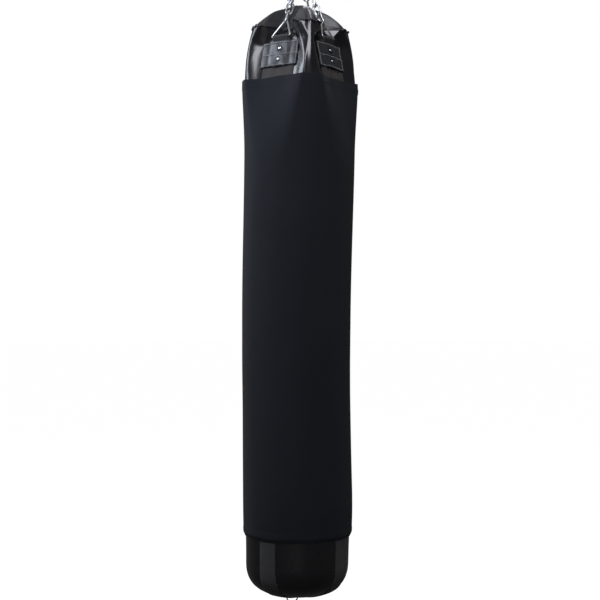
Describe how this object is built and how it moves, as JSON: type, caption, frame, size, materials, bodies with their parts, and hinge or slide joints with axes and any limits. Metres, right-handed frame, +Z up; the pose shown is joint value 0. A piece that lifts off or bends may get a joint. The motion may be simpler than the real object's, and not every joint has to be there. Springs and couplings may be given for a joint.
{
  "type": "hanging heavy bag",
  "caption": "Long hanging heavy bag with a cloth sleeve, sewn strap and ring anchors, chains, a gated snap hook, a ball-bearing swivel and a tether ring below.",
  "frame": {"origin": "centre of the swivel's hang eye", "axes": "+Z up along the hanging bag, +Y through the hang eye towards the back, +X along the snap hook's lower bar"},
  "size_m": [0.3545, 0.3482, 2.1052],
  "materials": {
    "zinc_steel": "bright zinc plate",
    "forged_steel": "zinc plated forging",
    "bearing_steel": "polished",
    "dark_steel": "blackened",
    "rivet_steel": "bright nickel",
    "dark_washer": "black, satin",
    "webbing": "woven polyester webbing",
    "ribbed_webbing": "coarse ribbed webbing",
    "patch_leather": "stitched split leather",
    "skin_leather": "glossy coated leather",
    "cap_leather": "matt coated leather",
    "hem_leather": "gathered edge",
    "filling": "packed textile",
    "sleeve_cloth": "matt stretch cloth"
  },
  "bodies": {
    "swivel_top": {"swivel_yoke": "forged_steel", "lower_race": "bearing_steel", "bearing_balls": "bearing_steel"},
    "swivel_lower": {"swivel_stem": "forged_steel", "swivel_nut": "forged_steel", "upper_race": "bearing_steel"},
    "snap_hook": {"hook_body": "forged_steel", "gate_pin": "forged_steel"},
    "hook_gate_body": {"hook_gate": "forged_steel", "gate_spring": "bearing_steel"},
    "bag": {"chain_1_link_1": "zinc_steel", "chain_1_link_2": "zinc_steel", "chain_1_link_3": "zinc_steel", "chain_1_link_4": "zinc_steel", "chain_1_link_5": "zinc_steel", "chain_2_link_1": "zinc_steel", "chain_2_link_2": "zinc_steel", "chain_2_link_3": "zinc_steel", "chain_2_link_4": "zinc_steel", "chain_2_link_5": "zinc_steel", "chain_3_link_1": "zinc_steel", "chain_3_link_2": "zinc_steel", "chain_3_link_3": "zinc_steel", "chain_3_link_4": "zinc_steel", "chain_3_link_5": "zinc_steel", "chain_4_link_1": "zinc_steel", "chain_4_link_2": "zinc_steel", "chain_4_link_3": "zinc_steel", "chain_4_link_4": "zinc_steel", "chain_4_link_5": "zinc_steel", "ring_1": "zinc_steel", "ring_2": "zinc_steel", "ring_3": "zinc_steel", "ring_4": "zinc_steel", "strap_1": "webbing", "strap_2": "webbing", "strap_3": "webbing", "strap_4": "webbing", "band_1": "ribbed_webbing", "band_2": "ribbed_webbing", "band_3": "ribbed_webbing", "band_4": "ribbed_webbing", "patch_1": "patch_leather", "patch_2": "patch_leather", "patch_3": "patch_leather", "patch_4": "patch_leather", "rivets": "rivet_steel", "rivet_washers": "dark_washer", "skin": "skin_leather", "filling": "filling", "top_cap": "cap_leather", "gathered_hem": "hem_leather", "bottom_panel": "skin_leather", "lower_straps": "webbing", "sleeve": "sleeve_cloth", "sleeve_seam_tab": "sleeve_cloth", "bottom_patch": "patch_leather", "bottom_tab": "webbing"},
    "tether_ring": {"bottom_ring": "dark_steel"}
  },
  "joints": [
    {"name": "swivel_spin", "type": "hinge", "parent": "swivel_top", "child": "swivel_lower", "pos_m": [0, 0, -0.0553], "axis": [0, 0, 1], "continuous": true},
    {"name": "hook_swing", "type": "hinge", "parent": "swivel_lower", "child": "snap_hook", "pos_m": [0, 0, -0.1013], "axis": [0, 1, 0], "range_deg": [-40, 40]},
    {"name": "bag_swing", "type": "hinge", "parent": "snap_hook", "child": "bag", "pos_m": [0, 0, -0.176], "axis": [1, 0, 0], "range_deg": [-40, 40]},
    {"name": "gate_open", "type": "hinge", "parent": "snap_hook", "child": "hook_gate_body", "pos_m": [0.03, 0, -0.156], "axis": [0, 1, 0], "range_deg": [-25, 0], "stiffness_Nm_per_rad": 0.25, "springref_deg": 20.05},
    {"name": "tether_ring_pivot", "type": "hinge", "parent": "bag", "child": "tether_ring", "pos_m": [-0.015, 0, -2.0672], "axis": [1, 0, 0], "range_deg": [-75, 75]}
  ]
}
